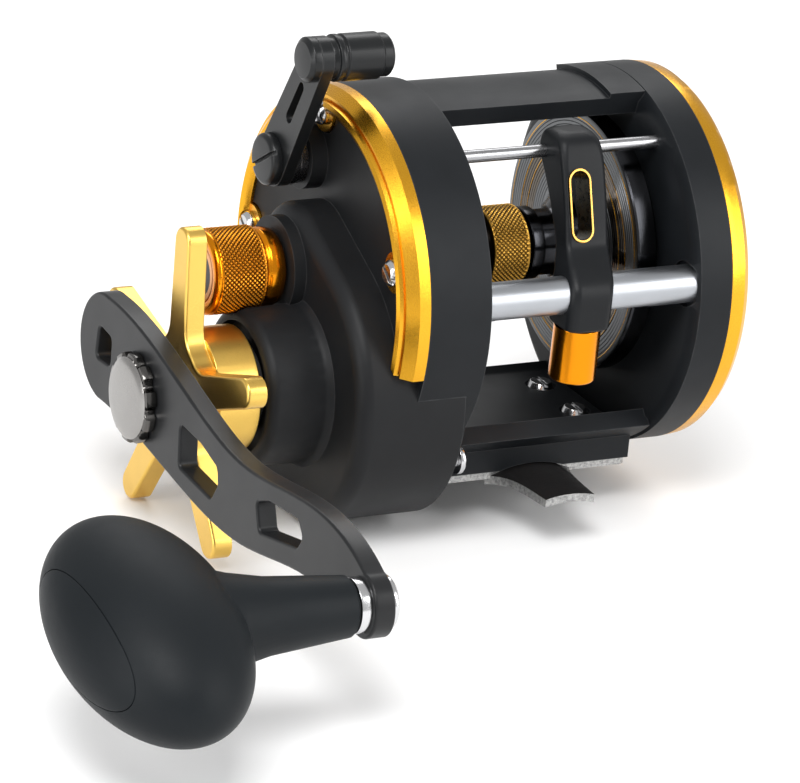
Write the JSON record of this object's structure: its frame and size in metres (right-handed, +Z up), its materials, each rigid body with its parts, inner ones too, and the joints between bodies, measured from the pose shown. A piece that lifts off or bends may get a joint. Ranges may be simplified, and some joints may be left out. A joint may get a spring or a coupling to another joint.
{
  "type": "trolling reel",
  "caption": "Level-wind trolling reel with star drag, free-spool lever, cast control knob, one-piece frame with rod foot and a long crank with an oval grip.",
  "frame": {"origin": "middle of the flat underside of the foot, where it sits on the rod", "axes": "+X along the spool axis from the handle side to the tail side, -Y the front where the line leaves, +Z up away from the rod"},
  "size_m": [0.1736, 0.1633, 0.095],
  "materials": {
    "frame_black": "satin moulded",
    "foot_black": "satin black with worn bare edges",
    "steel": "brushed",
    "bright_steel": "polished",
    "gold_satin": "satin anodised",
    "amber_anodised": "gloss anodised",
    "plate_charcoal": "fine matt grain",
    "dark_badge": "gloss",
    "spool_grey": "turned satin",
    "brass": "machined",
    "white_acetal": "moulded",
    "felt": "pressed fibre",
    "alloy": "satin",
    "guide_black": "satin moulded",
    "lever_black": "satin black",
    "arm_charcoal": "dark anodised with bright edges",
    "nut_silver": "brushed",
    "knob_rubber": "soft matt"
  },
  "bodies": {
    "housing": {"frame": "frame_black", "foot": "foot_black", "foot_screws": "steel", "head_trim_ring": "gold_satin", "head_side_plate": "plate_charcoal", "head_plate_screws": "bright_steel", "housing_screw": "steel", "bridge_plate": "alloy", "bridge_screws": "steel", "crank_bearings": "steel", "tail_trim_ring": "gold_satin", "tail_side_plate": "plate_charcoal", "tail_plate_screws": "steel", "tail_cap": "plate_charcoal", "spool_bearings": "steel", "worm_shield": "alloy", "worm_bushings": "brass", "guide_bar": "bright_steel", "cast_control_shim": "brass", "lever_washers": "steel"},
    "crank": {"gear_sleeve": "steel", "arm_spacer": "steel", "main_gear": "brass", "ratchet": "steel", "lw_crank_gear": "white_acetal", "drag_washers": "felt", "drag_plates": "steel", "drag_spring_washers": "steel", "handle_arm": "arm_charcoal", "handle_nut": "nut_silver", "knob_spindle": "steel", "knob_collar": "bright_steel"},
    "grip": {"handle_knob": "knob_rubber", "knob_badge": "dark_badge"},
    "star": {"star_drag": "gold_satin"},
    "spool": {"spool": "spool_grey", "spool_sleeve": "gold_satin", "spool_shaft": "steel", "click_gear": "white_acetal"},
    "idler": {"lw_idler_gear": "white_acetal"},
    "worm": {"worm_shaft": "steel", "lw_worm_gear": "white_acetal"},
    "line_guide": {"carriage": "guide_black", "line_eyelet": "gold_satin", "level_wind_pawl": "brass", "pawl_cap": "amber_anodised"},
    "lever": {"free_spool_lever": "lever_black", "lever_knob": "lever_black", "lever_knob_rivet": "bright_steel", "lever_screw": "bright_steel", "eccentric_jack": "steel"},
    "yoke": {"pinion_yoke": "white_acetal", "yoke_springs": "steel"},
    "pinion": {"pinion": "brass"},
    "cast_knob": {"cast_control_knob": "amber_anodised", "cast_knob_badge": "dark_badge"},
    "click": {"click_button": "guide_black", "click_tongue": "guide_black"},
    "dog": {"anti_reverse_dog": "steel"}
  },
  "joints": [
    {"name": "crank_turn", "type": "hinge", "parent": "housing", "child": "crank", "pos_m": [-0.0573, -0.00824, 0.01934], "axis": [1, 0, 0], "continuous": true},
    {"name": "grip_turn", "type": "hinge", "parent": "crank", "child": "grip", "pos_m": [-0.0973, -0.1006, 0.0165], "axis": [1, 0, 0], "continuous": true},
    {"name": "star_turn", "type": "hinge", "parent": "crank", "child": "star", "pos_m": [-0.0653, -0.00824, 0.01934], "axis": [1, 0, 0], "range_deg": [-180, 360]},
    {"name": "spool_turn", "type": "hinge", "parent": "housing", "child": "spool", "pos_m": [0.0027, 0.0006, 0.0396], "axis": [1, 0, 0], "continuous": true},
    {"name": "idler_turn", "type": "hinge", "parent": "housing", "child": "idler", "pos_m": [-0.029, -0.0209, 0.03417], "axis": [1, 0, 0], "continuous": true},
    {"name": "worm_turn", "type": "hinge", "parent": "housing", "child": "worm", "pos_m": [0.0027, -0.0321, 0.0417], "axis": [1, 0, 0], "continuous": true},
    {"name": "line_guide_travel", "type": "slide", "parent": "housing", "child": "line_guide", "axis": [1, 0, 0], "range_m": [-0.0164, 0.0107]},
    {"name": "lever_swing", "type": "hinge", "parent": "housing", "child": "lever", "pos_m": [-0.0453, 0.0084, 0.0582], "axis": [1, 0, 0], "range_deg": [-40, 0]},
    {"name": "yoke_travel", "type": "slide", "parent": "housing", "child": "yoke", "axis": [-1, 0, 0], "range_m": [0, 0.0022]},
    {"name": "pinion_turn", "type": "hinge", "parent": "yoke", "child": "pinion", "pos_m": [-0.0383, 0.0006, 0.0396], "axis": [1, 0, 0], "continuous": true},
    {"name": "cast_knob_turn", "type": "hinge", "parent": "housing", "child": "cast_knob", "pos_m": [-0.0573, 0.0006, 0.0396], "axis": [1, 0, 0], "range_deg": [-360, 180]},
    {"name": "click_travel", "type": "slide", "parent": "housing", "child": "click", "axis": [0, 0, 1], "range_m": [0, 0.0038]},
    {"name": "dog_swing", "type": "hinge", "parent": "housing", "child": "dog", "pos_m": [-0.0333, -0.00581, 0.00556], "axis": [1, 0, 0], "range_deg": [0, 12]}
  ],
  "couplings": [
    {"joint": "spool_turn", "follows": "crank_turn", "ratio": -5.8},
    {"joint": "pinion_turn", "follows": "crank_turn", "ratio": -5.8},
    {"joint": "idler_turn", "follows": "crank_turn", "ratio": -0.85714},
    {"joint": "worm_turn", "follows": "crank_turn", "ratio": 3},
    {"joint": "yoke_travel", "follows": "lever_swing", "m_per_rad": -0.00315}
  ]
}
